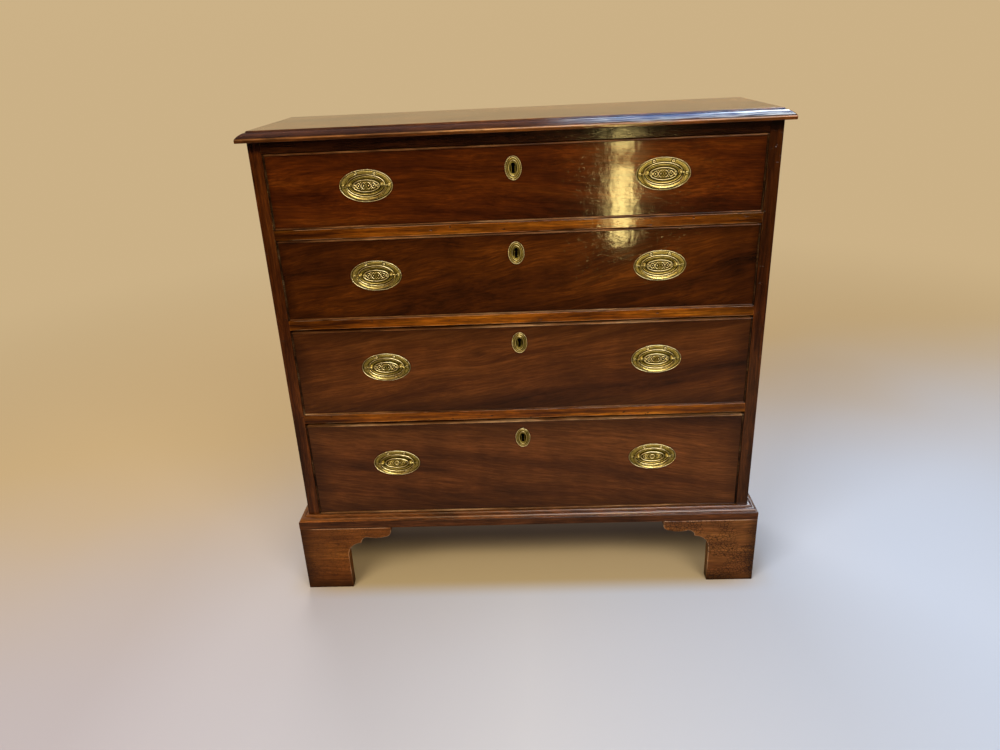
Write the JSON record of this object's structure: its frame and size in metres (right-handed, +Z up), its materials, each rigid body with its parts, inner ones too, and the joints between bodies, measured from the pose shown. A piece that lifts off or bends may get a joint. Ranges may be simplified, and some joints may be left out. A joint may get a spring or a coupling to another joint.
{
  "type": "bachelors chest",
  "caption": "Low mahogany chest with graduated cockbeaded drawers, oval brass bail handles and escutcheons, a moulded top and shaped bracket feet.",
  "frame": {"origin": "centre of the footprint on the floor", "axes": "+Z up, the drawers open towards -Y, +X is the viewer's right when facing the drawers"},
  "size_m": [0.916, 0.293, 0.915],
  "materials": {
    "mahogany": "french polish, glossy",
    "oak": "bare, planed",
    "pine": "bare, aged",
    "brass": "worn polish",
    "iron": "dark, oiled"
  },
  "bodies": {
    "carcase": {"top": "mahogany", "side_left": "mahogany", "side_right": "mahogany", "top_rails": "mahogany", "drawer_rails": "mahogany", "carcase_bottom": "pine", "drawer_runners": "pine", "dust_boards": "pine", "drawer_stops": "pine", "back_boards": "pine", "base_rails": "mahogany", "base_mouldings": "mahogany", "foot_front_left": "mahogany", "foot_front_right": "mahogany", "feet_back": "mahogany", "foot_blocks": "pine"},
    "drawer_1": {"drawer_1_front": "mahogany", "drawer_1_cockbead": "mahogany", "drawer_1_box": "oak", "drawer_1_bottom": "oak", "drawer_1_lock": "iron", "drawer_1_escutcheon": "brass", "drawer_1_handle_plates": "brass", "drawer_1_handle_posts": "brass"},
    "bail_1_left": {"drawer_1_bail_left": "brass"},
    "bail_1_right": {"drawer_1_bail_right": "brass"},
    "bolt_1": {"drawer_1_lock_bolt": "iron"},
    "drawer_2": {"drawer_2_front": "mahogany", "drawer_2_cockbead": "mahogany", "drawer_2_box": "oak", "drawer_2_bottom": "oak", "drawer_2_lock": "iron", "drawer_2_escutcheon": "brass", "drawer_2_handle_plates": "brass", "drawer_2_handle_posts": "brass"},
    "bail_2_left": {"drawer_2_bail_left": "brass"},
    "bail_2_right": {"drawer_2_bail_right": "brass"},
    "bolt_2": {"drawer_2_lock_bolt": "iron"},
    "drawer_3": {"drawer_3_front": "mahogany", "drawer_3_cockbead": "mahogany", "drawer_3_box": "oak", "drawer_3_bottom": "oak", "drawer_3_lock": "iron", "drawer_3_escutcheon": "brass", "drawer_3_handle_plates": "brass", "drawer_3_handle_posts": "brass"},
    "bail_3_left": {"drawer_3_bail_left": "brass"},
    "bail_3_right": {"drawer_3_bail_right": "brass"},
    "bolt_3": {"drawer_3_lock_bolt": "iron"},
    "drawer_4": {"drawer_4_front": "mahogany", "drawer_4_cockbead": "mahogany", "drawer_4_box": "oak", "drawer_4_bottom": "oak", "drawer_4_lock": "iron", "drawer_4_escutcheon": "brass", "drawer_4_handle_plates": "brass", "drawer_4_handle_posts": "brass"},
    "bail_4_left": {"drawer_4_bail_left": "brass"},
    "bail_4_right": {"drawer_4_bail_right": "brass"},
    "bolt_4": {"drawer_4_lock_bolt": "iron"}
  },
  "joints": [
    {"name": "drawer_1_slide", "type": "slide", "parent": "carcase", "child": "drawer_1", "axis": [0, -1, 0], "range_m": [0, 0.19]},
    {"name": "bail_1_left_swing", "type": "hinge", "parent": "drawer_1", "child": "bail_1_left", "pos_m": [-0.2485, -0.1341, 0.8211], "axis": [-1, 0, 0], "range_deg": [0, 95]},
    {"name": "bail_1_right_swing", "type": "hinge", "parent": "drawer_1", "child": "bail_1_right", "pos_m": [0.2485, -0.1341, 0.8211], "axis": [-1, 0, 0], "range_deg": [0, 95]},
    {"name": "bolt_1_throw", "type": "slide", "parent": "drawer_1", "child": "bolt_1", "axis": [0, 0, 1], "range_m": [0, 0.01]},
    {"name": "drawer_2_slide", "type": "slide", "parent": "carcase", "child": "drawer_2", "axis": [0, -1, 0], "range_m": [0, 0.19]},
    {"name": "bail_2_left_swing", "type": "hinge", "parent": "drawer_2", "child": "bail_2_left", "pos_m": [-0.2485, -0.1341, 0.665], "axis": [-1, 0, 0], "range_deg": [0, 95]},
    {"name": "bail_2_right_swing", "type": "hinge", "parent": "drawer_2", "child": "bail_2_right", "pos_m": [0.2485, -0.1341, 0.665], "axis": [-1, 0, 0], "range_deg": [0, 95]},
    {"name": "bolt_2_throw", "type": "slide", "parent": "drawer_2", "child": "bolt_2", "axis": [0, 0, 1], "range_m": [0, 0.01]},
    {"name": "drawer_3_slide", "type": "slide", "parent": "carcase", "child": "drawer_3", "axis": [0, -1, 0], "range_m": [0, 0.19]},
    {"name": "bail_3_left_swing", "type": "hinge", "parent": "drawer_3", "child": "bail_3_left", "pos_m": [-0.2485, -0.1341, 0.4897], "axis": [-1, 0, 0], "range_deg": [0, 95]},
    {"name": "bail_3_right_swing", "type": "hinge", "parent": "drawer_3", "child": "bail_3_right", "pos_m": [0.2485, -0.1341, 0.4897], "axis": [-1, 0, 0], "range_deg": [0, 95]},
    {"name": "bolt_3_throw", "type": "slide", "parent": "drawer_3", "child": "bolt_3", "axis": [0, 0, 1], "range_m": [0, 0.01]},
    {"name": "drawer_4_slide", "type": "slide", "parent": "carcase", "child": "drawer_4", "axis": [0, -1, 0], "range_m": [0, 0.19]},
    {"name": "bail_4_left_swing", "type": "hinge", "parent": "drawer_4", "child": "bail_4_left", "pos_m": [-0.2485, -0.1341, 0.2863], "axis": [-1, 0, 0], "range_deg": [0, 95]},
    {"name": "bail_4_right_swing", "type": "hinge", "parent": "drawer_4", "child": "bail_4_right", "pos_m": [0.2485, -0.1341, 0.2863], "axis": [-1, 0, 0], "range_deg": [0, 95]},
    {"name": "bolt_4_throw", "type": "slide", "parent": "drawer_4", "child": "bolt_4", "axis": [0, 0, 1], "range_m": [0, 0.01]}
  ]
}
